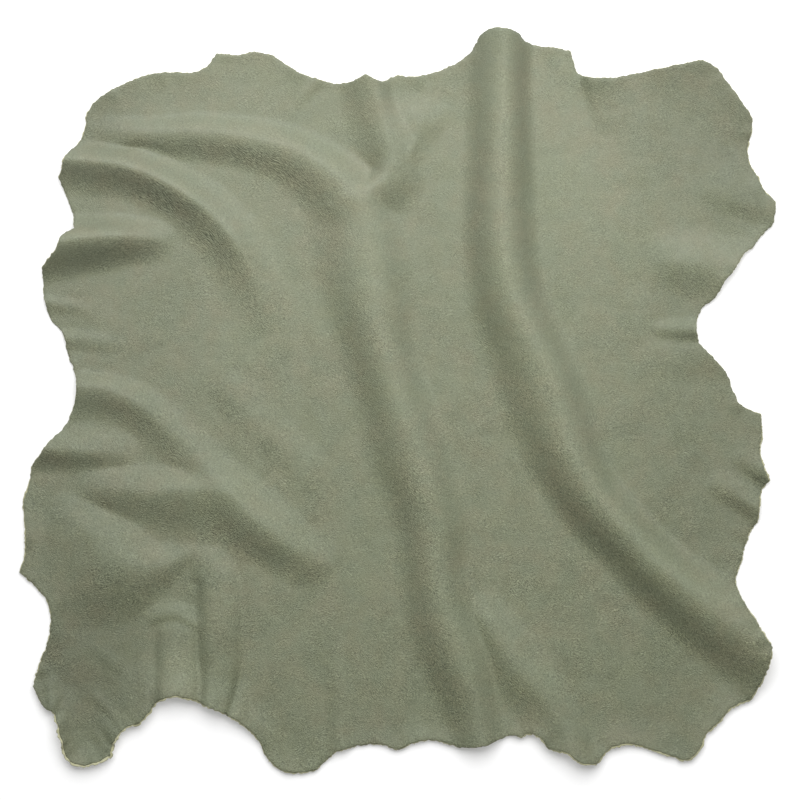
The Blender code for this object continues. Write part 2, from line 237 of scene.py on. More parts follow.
# Narrow troughs pressed into the sheet, in the same columns, with their depth as the height.
TROUGHS = (
    ("between the shoulder ridges", 1.0, (
        (112, 152, 0, 7, 6), (128, 148, 1.7, 7, 6), (148, 147, 1.5, 7, 6), (176, 156, 0, 7, 6))),
    ("right of the notch roll", 1.0, (
        (202, 636, 0, 9, 9), (201, 668, 2.2, 10, 9), (200, 700, 4, 10, 9), (199, 725, 4, 10, 9))),
    ("left of the notch roll", 1.0, (
        (162, 632, 0, 8, 8), (158, 660, 0.7, 9, 10), (155, 700, 1.6, 10, 11), (155, 725, 1.6, 10, 11))),
    ("beside the hind roll", 1.0, (
        (244, 652, 0, 8, 8), (237, 685, 2, 9, 7), (228, 714, 3.6, 9, 6), (222, 735, 3.6, 9, 6))),
    ("dent at the top left shoulder", 1.0, (
        (112, 82, 2.2, 7, 9), (122, 90, 1.4, 7, 9), (132, 104, 0, 7, 9))),
    ("outer foot pleat", 1.0, (
        (50, 724, 4, 11, 7), (65, 705, 3.4, 12, 8), (84, 688, 0, 10, 8))),
    ("low outer foot pleat", 1.0, (
        (60, 753, 2.6, 6, 5), (69, 742, 1.7, 6, 5), (80, 730, 0, 6, 5))),
    ("foot tip pleat", 1.0, (
        (114, 750, 2.2, 7, 6), (105, 736, 1.4, 7, 6), (95, 722, 0, 7, 6))),
    ("inner foot pleat", 1.0, (
        (122, 734, 1.2, 5, 5), (112, 721, 0.8, 5, 5), (103, 709, 0, 5, 5))),
    ("innermost foot pleat", 1.0, (
        (136, 724, 0.9, 5, 5), (125, 713, 0.6, 5, 5), (114, 702, 0, 5, 5))),
)

# ---- the cut edge -------------------------------------------------------------------------------

# Noise along the edge, in rows of (height, mm between its knots, seed): how far the cut strays, where
# nubs stand out of it, how uneven the flesh side's fringe is, and where the loose edge lifts.
RAGGED = ((0.32, 7, 1), (0.42, 3.2, 2), (0.3, 1.7, 3))
NUBS = ((1.0, 4, 8),)
UNEVEN = ((0.25, 9, 4), (0.4, 2.2, 5))
LIFT = ((0.6, 26, 6), (0.5, 11, 7))
NUB = 1.8  # the height of nubs, times what their noise has above NUB_FROM
NUB_FROM = 0.6
LIFTED = 2.2  # the most that the loose edge lifts
LIFT_REACH = 11.0  # how far in from the edge the lift has mostly faded
CURL_END = 44.0  # how far in from the edge nothing lifts or curls any more

# How far the flesh side shows past the grain at the cut, by the edge's stretch.
FRINGE = {
    "left hind notch": 1.8,
    "left hind foot, inner": 3.0,
    "left hind foot": 2.8,
    "left hind tab": 0.9,
    "left thigh tab": 1.2,
    "left hip tab": 1.3,
    "left shoulder tab": 1.0,
    "bottom left tab": 1.2,
    "bottom, left": 1.0,
    "bottom, middle": 1.1,
    "bottom right tab": 1.5,
    "right hind foot": 1.8,
    "right hip tab": 1.4,
    "right hip corner": 1.2,
    "right hind tab": 1.4,
    "right thigh": 1.2,
    "right of the shoulder": 1.0,
    "top left shoulder": 0.5,
}
FRINGE_ELSEWHERE = 0.45
FRINGE_EVENED = 10  # mm of edge to each side over which a fringe goes over into the next
FRINGE_SHARE = 0.85  # the share of it that its unevenness varies around
FRINGE_LIMITS = (0.12, 3.2)

# How far the cut edge curls up, by the edge's stretch.
RAISED = {
    "left hind foot": 8,
    "left hind foot, inner": 5,
    "left hind foot, outer": 6,
    "left hind tab": 2,
    "bottom left tab": 3,
    "bottom, left": 2.5,
    "bottom, middle": 3,
    "bottom, right": 3,
    "bottom right tab": 6,
    "right hind foot": 4,
    "right hind tab": 2,
    "under the right fore tab": 2.5,
    "top left shoulder": 2.5,
    "crown, left": 2,
    "crown, middle": 1,
    "neck notch": 1.5,
    "top right shoulder": 1,
    "left hip": 1,
    "left thigh tab": 2,
}
RAISED_ELSEWHERE = 0.5
RAISED_EVENED = 20  # as FRINGE_EVENED
RAISED_REACH = 34.0  # how far in from the edge the curl begins

# The section of the cut, from the grain down to the flesh: (share of the thickness above the underside,
# reach outwards in mm, share of the fringe that is added to it, material of the band above it).
GRAIN_SLOT, CUT_SLOT, FLESH_SLOT = 0, 1, 2
SECTION = (
    (0.93, 0.16, 0.0, GRAIN_SLOT),
    (0.62, 0.26, 0.0, CUT_SLOT),
    (0.44, 0.05, 0.0, CUT_SLOT),
    (0.42, 0.12, 0.1, FLESH_SLOT),
    (0.32, 0.15, 0.8, FLESH_SLOT),
    (0.10, 0.10, 1.0, FLESH_SLOT),
)
FIBRE_RING = -2  # the row of SECTION that the fibres stand on

FIBRE_SEED = 11
FIBRES_PER_MM = 1.3
FIBRE_LEAST = 0.3  # the share of fibres that is kept where there is no fringe
FIBRE_REACH = (0.35, 1.5)
FIBRE_GROWTH = (0.5, 1.5)  # the least and the most that the fringe changes that reach
FIBRE_ASTRAY = (0.55, 0.35)  # how far fibres stray along the edge and upwards, for 1 outwards
FIBRE_WIDTH = 0.13
FIBRE_WIDTHS = (0.6, 1.5)  # times that
FIBRE_ROOT = 0.3  # the depth of a fibre's root in the leather
FIBRE_CORNERS = (0.5, 2.6, 4.7)  # the three corners of its root, in radians around it
FIBRE_LOWEST = 0.02  # no point of a fibre lies lower

# ---- the materials' sizes -----------------------------------------------------------------------

# The part of a noise's range, around its mean, over which something changes.
SOFTLY = (0.3, 0.7)
FIRMLY = (0.35, 0.65)
SHARPLY = (0.4, 0.6)

WARP = 12.0  # how far at most noise of the size WARP_SIZE shifts the grain sideways
WARP_SIZE = 24.0

# The grain: strokes that run two ways, noise of the size STROKE drawn out, and pebbles with creases
# between them. Noise of the size WAY_SIZE and the slopes' direction choose the way. Ways are in degrees.
STROKE = 0.75
STROKE_LENGTH = 2.2
STROKE_WAYS = (32, 140)
STROKE_ROUGHNESS = 0.6
WAY_SIZE = 48.0
WAY_EDGES = (0.42, 0.58)
SLOPE_STEERS = 5.0
PEBBLE = 1.9
CREASE_WIDTH = 0.3  # in pebbles
CREASE_SHARE = 0.1  # the creases' share of the height
FINE_MIDDLE = 0.5 + 0.6 * CREASE_SHARE  # the mean of strokes and creases

# Stretch marks, longer than strokes, lie behind the left shoulder on slopes that face the hind legs.
# Slopes are told by the normal: 1 less its rise, and its lean towards the neck.
STRETCHED_AT = (205, 195)
STRETCHED_REACH = (70, 150)
STRETCHED_RISE = (0.012, 0.09)
STRETCHED_LEAN = (-0.2, 0.0)
STRETCHED_STRENGTH = 1.35
STRETCH_MARK = 0.9
STRETCH_LENGTH = 6.0
STRETCH_WAYS = (35, 135)
STRETCH_PATCH = 26.0
STRETCH_SHARES = (0.25, 0.9)

# The grain's strength: in patches, from the neck to the hind legs, and from slopes that face the hind legs
# to slopes that face the neck. This last part is painted shade: the grain's tone, and its depth, are
# stronger on slopes turned away from the light and fainter on those that face it.
STRENGTH_PATCH = 70.0
STRENGTH_IN_PATCHES = (0.82, 1.1)
NECK_AND_HIND = (-320, 300)  # behind the hide's middle
STRENGTH_DOWN = (0.8, 1.3)
LEANS = (-0.3, 0.3)
STRENGTH_BY_LEAN = (1.1, 0.72)

# Relief: the depth of the fine grain, and the size and depth of broader unevenness and of swells.
FINE_DEPTH = 0.8
BROAD = 9.0
BROAD_DEPTH = 0.27
SWELL = 34.0
SWELL_DEPTH = 1.5

# The colour: three dyes mottled together, a tint from the hind legs to the neck, and a painted sheen tint
# that is bluer on slopes leaning towards the neck and the light, and yellower on slopes turned away.
DYES = ((0.1234, 0.1350, 0.0860, 1), (0.1334, 0.1365, 0.0890, 1), (0.1195, 0.1345, 0.0895, 1))
MOTTLE = 60.0
SMALL_MOTTLE = 22.0
SMALL_MOTTLE_MOST = 0.7
SMALL_MOTTLE_SHIFT = (0.3, 0.7, 0)  # metres, so that the two mottles differ
TINT_SLANT = -0.3  # mm that the tint's direction moves to the right for each mm forwards
TINT_ENDS = (-420, 420)
TINTS = ((0.994, 1, 0.965, 1), (1.010, 1, 1.036, 1))
TINT_LEANS = (-0.25, 0.25)
PAINTED_SHEEN_TINTS = ((1.008, 1, 0.968, 1), (1.0, 1, 1.032, 1))

# Its tone: the grain in it and the whole tone. Then painted light falloff, lighter along the back and darker
# out to the flanks, and a painted highlight that is lighter up the crests.
FINE_TONE = 1.6
DYE_TONE = 1.047
BACK_LINE = 20.0
FLANKS = (120, 380)  # from the back's line
FLANK_TONES = (1.05, 0.95)
CRESTS = (10, 22)  # above the floor
CREST_TONES = (1.0, 1.07)
GRAIN_ROUGHNESS = (0.55, 0.65)
GRAIN_SPECULAR = 0.25

# Painted light and shade in patches. They are lighter in the middle and, as painted highlights, on the two
# rolls at the left hind notch. They are darker towards the sides, the corners and the bottom edge, where the
# light falls off.
# Columns: (patch, middle on the board, radius, its share of the tone).
PATCH_CORE = 0.2  # the share of a patch's radius that has its full tone
PAINTED_LIGHT_PATCHES = (
    ("right shoulder", (725, 105), 170, 0.9),
    ("neck", (490, 45), 60, 0.9),
    ("behind the neck", (590, 190), 100, 1.04),
    ("left shoulder corner", (100, 105), 60, 0.92),
    ("left hind foot", (78, 665), 110, 0.87),
    ("right hip", (725, 470), 150, 0.93),
    ("behind the left shoulder", (270, 300), 100, 1.05),
    ("left notch roll", (176, 672), 40, 1.14),
    ("left hind roll", (222, 610), 30, 1.06),
    ("right fore tab", (740, 165), 60, 0.95),
    ("right waist", (685, 320), 60, 0.92),
    ("left hind notch's edge", (162, 702), 34, 0.92),
    ("bottom edge, left", (385, 752), 62, 0.92),
    ("bottom edge, middle", (465, 752), 60, 0.93),
    ("bottom edge, right", (552, 756), 70, 0.91),
    ("bottom edge by the hind foot", (640, 754), 66, 0.92),
)

# The cut band's dark colours are painted shade along the rolled grain edge.
CUT_COLOURS = ((0.045, 0.045, 0.028, 1), (0.075, 0.075, 0.045, 1))
CUT_MOTTLE = 2.0
CUT_GRAIN = 0.7
CUT_DEPTH = 0.1
CUT_ROUGHNESS = 0.7

FLESH_COLOURS = ((0.32, 0.315, 0.195, 1), (0.40, 0.395, 0.265, 1))
FLESH_MOTTLE = 18.0
NAP = 0.8
NAP_COLOUR = (0.19, 0.19, 0.11, 1)
NAP_SHARE = 0.5
NAP_DEPTH = 0.25
FLESH_ROUGHNESS = 0.95
FLESH_SPECULAR = 0.15
FLESH_SHEEN = 0.25

# ---- the stage ----------------------------------------------------------------------------------

# Lengths here are metres, unless a comment says otherwise.
FLOOR_TONE = 0.55
FLOOR_GLOW = 0.3
FLOOR_BELOW = 0.3  # mm below the hide
FLOOR_HALF = 4.0
LENS = 200.0  # mm
PICTURE = 800  # pixels, and mm of the board that they show
KEY_AT = (0.1, 0.95, 1.35)
KEY_TARGET = (0.0, 0.1, 0.0)
KEY_SIZE = (2.4, 2.0)
KEY_POWER = 86.0  # watts
FILL = 0.15
WHITE = (1, 1, 1, 1)


# ---- shape --------------------------------------------------------------------------------------


def on_hide(board):
    """Board places, mm right and below, as X and Y from the hide's middle; other columns stay."""
    placed = np.array(board, float)
    placed[:, 0] -= BOARD_MIDDLE[0]
    placed[:, 1] = BOARD_MIDDLE[1] - placed[:, 1]
    return placed


def smooth_rows(rows, step):
    """Rows every step or so along a smooth curve through the given rows, every column carried along."""
    rows = np.asarray(rows, float)
    if len(rows) < 3:
        middle = (rows[0] + rows[-1]) / 2
        rows = np.array([rows[0], middle, rows[-1]])
    along = np.concatenate([[0], np.cumsum(np.hypot(*np.diff(rows[:, :2], axis=0).T))])
    slope = np.gradient(rows, along, axis=0)
    places = np.linspace(0, along[-1], int(np.ceil(along[-1] / step)) + 1)
    start = np.clip(np.searchsorted(along, places, "right") - 1, 0, len(rows) - 2)
    span = (along[start + 1] - along[start])[:, None]
    t = (places - along[start])[:, None] / span
    return ((2 * t**3 - 3 * t**2 + 1) * rows[start] + (t**3 - 2 * t**2 + t) * span * slope[start]
            + (3 * t**2 - 2 * t**3) * rows[start + 1] + (t**3 - t**2) * span * slope[start + 1])


def cut_edge(step):
    """The cut edge as one closed loop of points, anticlockwise, and the name of each point's stretch."""
    loop = []
    names = []
    for (name, stretch), (_, following) in zip(EDGE, EDGE[1:] + EDGE[:1]):
        points = smooth_rows(stretch + following[:1], step)[:-1]
        loop.append(points)
        names += [name] * len(points)
    return on_hide(np.concatenate(loop))[::-1], names[::-1]


def inside(points, loop):
    """Which points lie inside the loop."""
    crossed = np.zeros(len(points), bool)
    for (x0, y0), (x1, y1) in zip(loop, np.roll(loop, -1, axis=0)):
        if y0 == y1:
            continue
        rows = np.flatnonzero((y0 > points[:, 1]) != (y1 > points[:, 1]))
        x = x0 + (x1 - x0) * (points[rows, 1] - y0) / (y1 - y0)
        crossed[rows] ^= points[rows, 0] < x
    return crossed


def fold_height(points, rows, tight):
    """The height of one fold above the flat sheet, at each point."""
    path = on_hide(smooth_rows(rows, PATH_STEP))
    start = path[:-1]
    run = np.diff(path, axis=0)
    length2 = (run[:, :2] ** 2).sum(1)
    height = np.zeros(len(points))
    reach = path[:, 3:].max()
    near = ((points > path[:, :2].min(0) - reach) & (points < path[:, :2].max(0) + reach)).all(1)
    found = np.flatnonzero(near)
    for part in np.array_split(found, len(found) // BATCH + 1):
        gap = points[part][:, None] - start[:, :2]
        t = np.clip((gap * run[:, :2]).sum(2) / length2, 0, 1)
        gap -= t[..., None] * run[:, :2]
        nearest = np.hypot(gap[..., 0], gap[..., 1]).argmin(1)
        each = np.arange(len(part))
        gap = gap[each, nearest]
        at = start[nearest] + t[each, nearest][:, None] * run[nearest]
        on_left = run[nearest, 0] * gap[:, 1] > run[nearest, 1] * gap[:, 0]
        width = np.where(on_left, at[:, 3], at[:, 4])
        share = np.clip(np.hypot(gap[:, 0], gap[:, 1]) / width, 0, 1)
        height[part] = np.maximum(at[:, 2], 0) * (1 + np.cos(np.pi * share**tight)) / 2
    return height


def sheet_height(points):
    """The height of the sheet's underside at each point: the merged folds with creases and troughs."""
    folds = sum(fold_height(points, rows, tight) ** MERGE for _, tight, rows in FOLDS) ** (1 / MERGE)
    creases = sum(fold_height(points, rows, tight) for _, tight, rows in CREASES)
    troughs = sum(fold_height(points, rows, tight) for _, tight, rows in TROUGHS)
    return np.maximum(folds + creases - troughs, 0)


def even_points(low, high, step):
    """Points of an even triangular grid over the box from low to high."""
    rows = []
    for k, y in enumerate(np.arange(low[1], high[1], step * np.sqrt(0.75))):
        x = np.arange(low[0] + (k % 2) * step / 2, high[0], step)
        rows.append(np.stack([x, np.full(len(x), y)], axis=1))
    return np.concatenate(rows)


def tree_of(points):
    """A search tree of flat points."""
    tree = kdtree.KDTree(len(points))
    for k, (x, y) in enumerate(points):
        tree.insert((x, y, 0), k)
    tree.balance()
    return tree


def noise_along(length, step, seed):
    """Smooth random values from -1 to 1 at every mm of a closed loop, with a knot every step mm."""
    random = np.random.default_rng(seed)
    count = max(4, int(length / step))
    knots = random.uniform(-1, 1, count)
    place = np.arange(int(length)) * count / int(length)
    k = place.astype(int)
    t = place - k
    t = t * t * (3 - 2 * t)
    return knots[k % count] * (1 - t) + knots[(k + 1) % count] * t


def layered(length, rows):
    """The sum of several rows of noise along a closed loop."""
    return sum(height * noise_along(length, step, seed) for height, step, seed in rows)


def smooth_round(values, reach):
    """The values of a closed loop, each the mean of those within reach places of it."""
    values = np.array(values, float)
    width = 2 * reach + 1
    around = np.concatenate([values[-reach:], values, values[:reach]])
    return np.convolve(around, np.ones(width) / width, "valid")


class Cut:
    """The ragged cut edge: its loop, its fringe, how far it lifts and curls, and a search tree of it."""

    def __init__(self):
        smooth, names = cut_edge(EDGE_STEP)
        length = len(smooth)
        ahead = np.roll(smooth, -1, axis=0) - np.roll(smooth, 1, axis=0)
        ahead /= np.hypot(ahead[:, 0], ahead[:, 1])[:, None]
        out = np.stack([ahead[:, 1], -ahead[:, 0]], axis=1)
        ragged = layered(length, RAGGED) + NUB * np.clip(layered(length, NUBS) - NUB_FROM, 0, 1)
        fringe = smooth_round([FRINGE.get(name, FRINGE_ELSEWHERE) for name in names], FRINGE_EVENED)
        self.loop = smooth + (ragged - fringe / 2)[:, None] * out
        self.fringe = np.clip(fringe * (FRINGE_SHARE + layered(length, UNEVEN)), *FRINGE_LIMITS)
        self.lift = LIFTED * np.clip(layered(length, LIFT), 0, 1)
        raised = [RAISED.get(name, RAISED_ELSEWHERE) for name in names]
        self.raised = smooth_round(raised, RAISED_EVENED)
        self.tree = tree_of(self.loop)

    def curl(self, points):
        """How far the edge lifts and curls off the surface at each point."""
        height = np.zeros(len(points))
        for k, (x, y) in enumerate(points):
            _, nearest, away = self.tree.find((x, y, 0))
            if away < CURL_END:
                lift = self.lift[nearest] * np.exp(-((away / LIFT_REACH) ** 2))
                height[k] = lift + self.raised[nearest] * max(0, 1 - away / RAISED_REACH) ** 2
        return height


def triangulated(cut, step):
    """Flat places and triangles of the whole hide; the first places are the cut's loop, in its order."""
    loop = cut.loop
    grid = even_points(loop.min(0), loop.max(0), step)
    grid = grid[inside(grid, loop)]
    away = np.array([cut.tree.find((x, y, 0))[2] for x, y in grid])
    points = [Vector(p) for p in np.concatenate([loop, grid[away > EDGE_MARGIN * step]])]
    ring = list(range(len(loop)))
    inside_the_ring = 1
    places, _, triangles, *_ = geometry.delaunay_2d_cdt(
        points, list(zip(ring, ring[1:] + ring[:1])), [ring], inside_the_ring, WELD)
    return np.array([tuple(p) for p in places]), np.array(triangles)


def underside(cut, step):
    """The sheet's underside as points in space, and its triangles."""
    flat, triangles = triangulated(cut, step)
    return np.column_stack([flat, sheet_height(flat) + cut.curl(flat)]), triangles


def normals_of(points, triangles):
    """The mean upward normal at each point of a surface of triangles."""
    a, b, c = (points[triangles[:, k]] for k in range(3))
    across = np.cross(b - a, c - a)
    normals = np.zeros_like(points)
    for k in range(3):
        np.add.at(normals, triangles[:, k], across)
    return normals / np.linalg.norm(normals, axis=1)[:, None]


def hide_mesh(cut):
    """The closed sheet: a fine grain side, a coarser flesh side and the section of the cut between them.

    Also where the fibres stand on it, and the ways out of and up from the leather there.
    """
    fine, fine_triangles = underside(cut, GRAIN_STEP)
    coarse, coarse_triangles = underside(cut, FLESH_STEP)
    normals = normals_of(fine, fine_triangles)
    grain = fine + THICKNESS * normals
    count = len(cut.loop)
    rim = fine[:count]
    up = normals[:count]
    out = np.cross(np.roll(rim, -1, axis=0) - np.roll(rim, 1, axis=0), up)
    out /= np.linalg.norm(out, axis=1)[:, None]
    rings = [rim + THICKNESS * above * up + (reach + share * cut.fringe)[:, None] * out
             for above, reach, share, _ in SECTION]
    points = np.concatenate([grain, *rings, coarse])
    points[:, 2] = np.maximum(points[:, 2], 0)
    faces = [tuple(t) for t in fine_triangles.tolist()]
    slots = [GRAIN_SLOT] * len(faces)
    starts = [0] + [len(grain) + k * count for k in range(len(SECTION) + 1)]
    bands = [slot for *_, slot in SECTION] + [FLESH_SLOT]
    for upper, lower, slot in zip(starts, starts[1:], bands):
        for i in range(count):
            j = (i + 1) % count
            faces.append((upper + j, upper + i, lower + i, lower + j))
        slots += [slot] * count
    faces += [tuple(t) for t in (coarse_triangles[:, ::-1] + starts[-1]).tolist()]
    slots += [FLESH_SLOT] * len(coarse_triangles)
    mesh = bpy.data.meshes.new("hide_sheet")
    mesh.from_pydata((points * MM).tolist(), [], faces)
    mesh.polygons.foreach_set("material_index", slots)
    mesh.shade_smooth()
    mesh.update()
    return mesh, rings[FIBRE_RING], out, up


def fibre_mesh(cut, at, out, up):
    """Loose fibres of the flesh side that stand out of the cut edge, each a thin three-sided spike."""
    random = np.random.default_rng(FIBRE_SEED)
    count = int(FIBRES_PER_MM * len(at))
    where = random.integers(0, len(at), count)
    where = where[random.random(count) < np.clip(cut.fringe[where], FIBRE_LEAST, 1)]
    count = len(where)
    along = np.cross(up[where], out[where])
    growth = np.clip(0.5 + 0.5 * cut.fringe[where], *FIBRE_GROWTH)
    reach = random.uniform(*FIBRE_REACH, count) * growth
    astray, upwards = FIBRE_ASTRAY
    way = (out[where] + random.normal(0, astray, (count, 1)) * along
           + np.abs(random.normal(0, upwards, (count, 1))) * up[where])
    way /= np.linalg.norm(way, axis=1)[:, None]
    side = np.cross(way, up[where])
    side /= np.linalg.norm(side, axis=1)[:, None]
    top = np.cross(side, way)
    width = FIBRE_WIDTH * random.uniform(*FIBRE_WIDTHS, (count, 1))
    root = at[where] - FIBRE_ROOT * out[where]
    corners = [root + width * (np.cos(turn) * side + np.sin(turn) * top) for turn in FIBRE_CORNERS]
    tip = root + (reach[:, None] + FIBRE_ROOT) * way
    points = np.stack([*corners, tip], axis=1).reshape(-1, 3)
    points[:, 2] = np.maximum(points[:, 2], FIBRE_LOWEST)
    base = 4 * np.arange(count)[:, None]
    faces = np.concatenate([base + face for face in ((0, 1, 3), (1, 2, 3), (2, 0, 3), (2, 1, 0))])
    mesh = bpy.data.meshes.new("edge_fibres")
    mesh.from_pydata((points * MM).tolist(), [], faces.tolist())
    mesh.update()
    return mesh


# ---- materials ----------------------------------------------------------------------------------


class Nodes:
    """Short calls for building one material's node tree. Sizes are in mm."""

    def __init__(self, name):
        self.material = bpy.data.materials.new(name)
        self.material.use_nodes = True
        self.tree = self.material.node_tree
        self.shader = self.tree.nodes["Principled BSDF"]
        self.place = self.add("ShaderNodeTexCoord").outputs["Object"]
        self.across, self.forwards, self.above = self.parts(self.place)
        self.flat = self.add("ShaderNodeCombineXYZ", X=self.across, Y=self.forwards).outputs[0]

    def add(self, kind, settings=None, **inputs):
        """A new node, with its settings and its inputs by name, _ for a space."""
        node = self.tree.nodes.new(kind)
        for name, value in (settings or {}).items():
            setattr(node, name, value)
        for name, value in inputs.items():
            self.feed(node.inputs[name.replace("_", " ")], value)
        return node

    def feed(self, socket, value):
        """Gives a socket another socket's value, or a constant."""
        if isinstance(value, bpy.types.NodeSocket):
            self.tree.links.new(value, socket)
        else:
            socket.default_value = value

    def parts(self, vector):
        """A vector's three parts."""
        return self.add("ShaderNodeSeparateXYZ", Vector=vector).outputs

    def noise(self, size, detail=2.0, roughness=0.5, place=None):
        """Noise with features about size across."""
        node = self.add("ShaderNodeTexNoise", Vector=place or self.place, Scale=1 / (size * MM),
                        Detail=detail, Roughness=roughness)
        return node.outputs["Fac"]

    def math(self, operation, a, b=0.0, c=0.0):
        """One step of arithmetic."""
        node = self.add("ShaderNodeMath", {"operation": operation})
        for socket, value in zip(node.inputs, (a, b, c)):
            self.feed(socket, value)
        return node.outputs[0]

    def product(self, value, *others):
        """The product of several numbers."""
        for other in others:
            value = self.math("MULTIPLY", value, other)
        return value

    def spread(self, value, low, high, to_low=0.0, to_high=1.0):
        """A value that goes smoothly from to_low to to_high while another goes from low to high."""
        node = self.add("ShaderNodeMapRange", {"interpolation_type": "SMOOTHSTEP"}, Value=value)
        ends = {"From Min": low, "From Max": high, "To Min": to_low, "To Max": to_high}
        for name, number in ends.items():
            node.inputs[name].default_value = number
        return node.outputs["Result"]

    def blend(self, share, a, b):
        """The number a where the share is 0, and b where it is 1."""
        node = self.add("ShaderNodeMix", {"data_type": "FLOAT"})
        for socket, value in zip((node.inputs[0], node.inputs[2], node.inputs[3]), (share, a, b)):
            self.feed(socket, value)
        return node.outputs[0]

    def mix(self, share, a, b, how="MIX"):
        """The colour a where the share is 0, and b where it is 1."""
        node = self.add("ShaderNodeMix", {"data_type": "RGBA", "blend_type": how})
        self.feed(node.inputs["Factor"], share)
        self.feed(node.inputs[6], a)
        self.feed(node.inputs[7], b)
        return node.outputs[2]

    def tinted(self, colour, tint):
        """A colour times another, or times a number."""
        return self.mix(1.0, colour, tint, "MULTIPLY")

    def drawn_out(self, place, direction, stretch):
        """The place measured so that what is drawn on it comes out longer along a direction, in degrees."""
        node = self.add("ShaderNodeMapping", {"vector_type": "TEXTURE"}, Vector=place,
                        Rotation=(0, 0, np.radians(direction)), Scale=(stretch, 1, 1))
        return node.outputs[0]

    def cells(self, size, place):
        """How far a place is from the border between cells about size across: 0 on the border."""
        node = self.add("ShaderNodeTexVoronoi", {"feature": "DISTANCE_TO_EDGE"}, Vector=place,
                        Scale=1 / (size * MM), Randomness=1.0)
        return node.outputs["Distance"]

    def distance(self, board):
        """How far each place is, seen from above and in metres, from a place on the board."""
        node = self.add("ShaderNodeVectorMath", {"operation": "DISTANCE"})
        self.feed(node.inputs[0], self.flat)
        node.inputs[1].default_value = (*(on_hide([board])[0] * MM), 0)
        return node.outputs["Value"]

    def warped(self, size, amount):
        """The place, shifted sideways by noise about size across."""
        noise = self.add("ShaderNodeTexNoise", Vector=self.place, Scale=1 / (size * MM), Detail=2.0)
        shift = self.add("ShaderNodeVectorMath", {"operation": "MULTIPLY_ADD"})
        self.feed(shift.inputs[0], noise.outputs["Color"])
        shift.inputs[1].default_value = (amount * MM, amount * MM, 0.0)
        self.feed(shift.inputs[2], self.place)
        return shift.outputs[0]

    def bump(self, height, depth, before=None):
        """A bump of a depth, on top of the one before."""
        node = self.add("ShaderNodeBump", Height=height, Distance=depth * MM, Strength=1.0)
        if before:
            self.feed(node.inputs["Normal"], before)
        return node.outputs[0]


def fine_grain(n, lean, warped):
    """The grain's fine height around 0: strokes that run one way here and another there, and pebbles."""
    slanting = n.product(lean[0], lean[1], SLOPE_STEERS)
    which = n.spread(n.math("ADD", n.noise(WAY_SIZE, detail=1.0), slanting), *WAY_EDGES)
    ways = [n.drawn_out(warped, way, STROKE_LENGTH) for way in STROKE_WAYS]
    strokes = n.blend(which, *(n.noise(STROKE, 1.0, STROKE_ROUGHNESS, way) for way in ways))
    pebbles = n.blend(which, *(n.cells(PEBBLE, way) for way in ways))
    creases = n.spread(pebbles, 0.0, CREASE_WIDTH)

    ways = [n.drawn_out(warped, way, STRETCH_LENGTH) for way in STRETCH_WAYS]
    marks = n.blend(which, *(n.noise(STRETCH_MARK, 1.0, place=way) for way in ways))
    near, far = STRETCHED_REACH
    stretched = n.product(n.spread(n.math("SUBTRACT", 1.0, lean[2]), *STRETCHED_RISE),
                          n.spread(lean[1], *STRETCHED_LEAN, 1.0, 0.0),
                          n.spread(n.distance(STRETCHED_AT), near * MM, far * MM, 1.0, 0.0))
    patchy = n.spread(n.noise(STRETCH_PATCH, detail=1.0), *SHARPLY, *STRETCH_SHARES)
    strokes = n.blend(n.product(stretched, patchy), strokes, marks)

    neck, hind = NECK_AND_HIND
    backwards = n.product(n.forwards, -1.0)
    # The lean factor paints shade into the grain: its tone is stronger on slopes turned away from the light.
    strength = n.product(n.spread(n.noise(STRENGTH_PATCH, detail=1.0), *FIRMLY, *STRENGTH_IN_PATCHES),
                         n.spread(backwards, neck * MM, hind * MM, *STRENGTH_DOWN),
                         n.spread(lean[1], *LEANS, *STRENGTH_BY_LEAN))
    strength = n.blend(stretched, strength, STRETCHED_STRENGTH)
    pebbled = n.math("ADD", strokes, n.product(creases, CREASE_SHARE))
    return n.product(n.math("SUBTRACT", pebbled, FINE_MIDDLE), strength)


def dye_and_painted_sheen(n, lean):
    """The mottled dye, with a tint from the hind legs to the neck and a painted sheen tint by the slopes'
    lean.
    """
    first, second, third = DYES
    colour = n.mix(n.spread(n.noise(MOTTLE, detail=3.0), *SOFTLY), first, second)
    shifted = n.add("ShaderNodeMapping", Vector=n.place, Location=SMALL_MOTTLE_SHIFT).outputs[0]
    small = n.noise(SMALL_MOTTLE, detail=4.0, place=shifted)
    colour = n.mix(n.spread(small, *SOFTLY, 0.0, SMALL_MOTTLE_MOST), colour, third)
    low, high = TINT_ENDS
    slanted = n.math("MULTIPLY_ADD", n.across, TINT_SLANT, n.forwards)
    colour = n.tinted(colour, n.mix(n.spread(slanted, low * MM, high * MM), *TINTS))
    # Painted sheen: bluer on slopes that lean towards the light at the neck, yellower on slopes turned away.
    return n.tinted(colour, n.mix(n.spread(lean[1], *TINT_LEANS), *PAINTED_SHEEN_TINTS))


def tone_with_painted_light(n, fine):
    """The tone: the grain in it, painted light falloff out to the flanks, a painted highlight up the crests,
    and patches of painted light and shade.
    """
    tone = n.math("MULTIPLY_ADD", fine, FINE_TONE, DYE_TONE)
    # Painted light falloff from the back out to the flanks, and a painted highlight up the crests.
    beside_the_back = n.math("ABSOLUTE", n.math("SUBTRACT", n.across, BACK_LINE * MM))
    for value, (low, high), tones in ((beside_the_back, FLANKS, FLANK_TONES),
                                      (n.above, CRESTS, CREST_TONES)):
        tone = n.product(tone, n.spread(value, low * MM, high * MM, *tones))
    # Patches of painted light and shade.
    for _, middle, radius, patch in PAINTED_LIGHT_PATCHES:
        away = n.distance(middle)
        tone = n.product(tone, n.spread(away, PATCH_CORE * radius * MM, radius * MM, patch, 1.0))
    return tone


